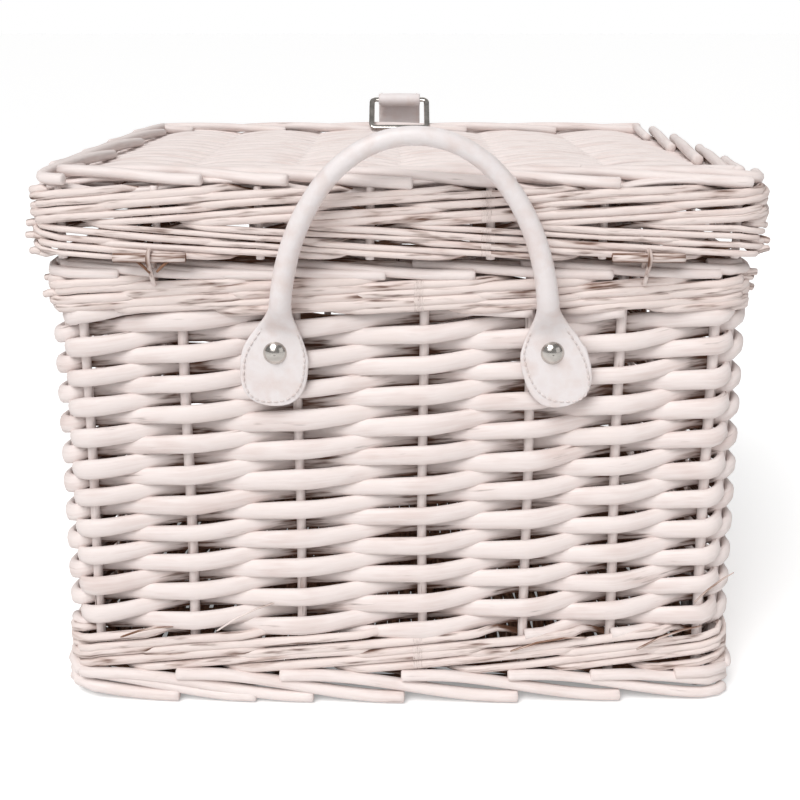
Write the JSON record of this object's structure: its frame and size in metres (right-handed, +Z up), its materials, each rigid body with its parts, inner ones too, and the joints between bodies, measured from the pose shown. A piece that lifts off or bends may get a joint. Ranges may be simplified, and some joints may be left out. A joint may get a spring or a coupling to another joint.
{
  "type": "lidded wicker basket",
  "caption": "Rectangular whitewashed willow basket with a hinged woven lid, riveted rolled leather handles and a strap closure with a metal ring and turn button.",
  "frame": {"origin": "on the floor, under the middle of the basket's outside box", "axes": "+X along the basket's length, -Y towards the hinge side with the raised handle, +Z up"},
  "size_m": [0.381, 0.3186, 0.3182],
  "materials": {
    "willow": "whitewashed peeled willow, matt, brown where the wash is thin",
    "white_leather": "white imitation leather, satin",
    "nickel": "nickel plated, polished",
    "rope": "twisted cotton rope"
  },
  "bodies": {
    "basket": {"base_sticks": "willow", "base_weave": "willow", "foot_border": "willow", "bottom_wale": "willow", "side_weave": "willow", "rim_wale": "willow", "rim_border": "willow", "near_stakes": "willow", "far_stakes": "willow", "left_stakes": "willow", "right_stakes": "willow", "corner_stakes": "willow", "hinge_loops": "willow", "near_handle_tabs": "white_leather", "near_handle_rivets": "nickel", "near_handle_washers": "nickel", "far_handle_tabs": "white_leather", "far_handle_rivets": "nickel", "far_handle_washers": "nickel", "lock_plate": "nickel", "lock_rivets": "nickel", "lock_washers": "nickel"},
    "lid": {"lid_lower_wale": "willow", "lid_upper_wale": "willow", "lid_border": "willow", "lid_panel": "willow", "lid_ribs": "willow", "lid_stakes": "willow", "lid_hinge_rods": "willow", "strap_base": "white_leather", "strap_rivets": "nickel", "strap_washers": "nickel"},
    "near_handle": {"near_grip": "white_leather", "near_grip_core": "rope"},
    "far_handle": {"far_grip": "white_leather", "far_grip_core": "rope"},
    "strap_end": {"strap": "white_leather"},
    "ring": {"closure_ring": "nickel"},
    "lock_button": {"turn_button": "nickel"}
  },
  "joints": [
    {"name": "lid_hinge", "type": "hinge", "parent": "basket", "child": "lid", "pos_m": [0, -0.1415, 0.2501], "axis": [1, 0, 0], "range_deg": [0, 105]},
    {"name": "near_handle_fold", "type": "hinge", "parent": "basket", "child": "near_handle", "pos_m": [0.0075, -0.14621, 0.226], "axis": [1, 0, 0], "range_deg": [0, 158]},
    {"name": "far_handle_swing", "type": "hinge", "parent": "basket", "child": "far_handle", "pos_m": [0, 0.14621, 0.226], "axis": [1, 0, 0], "range_deg": [0, 155]},
    {"name": "strap_fold", "type": "hinge", "parent": "lid", "child": "strap_end", "pos_m": [0, 0.1485, 0.27], "axis": [-1, 0, 0], "range_deg": [0, 180]},
    {"name": "ring_swing", "type": "hinge", "parent": "strap_end", "child": "ring", "pos_m": [0, 0.138, 0.31], "axis": [-1, 0, 0], "range_deg": [0, 130]},
    {"name": "button_turn", "type": "hinge", "parent": "basket", "child": "lock_button", "pos_m": [0, 0.141, 0.216], "axis": [0, 1, 0], "range_deg": [0, 90]}
  ],
  "couplings": [
    {"joint": "near_handle_fold", "follows": "lid_hinge", "ratio": 1.5}
  ]
}
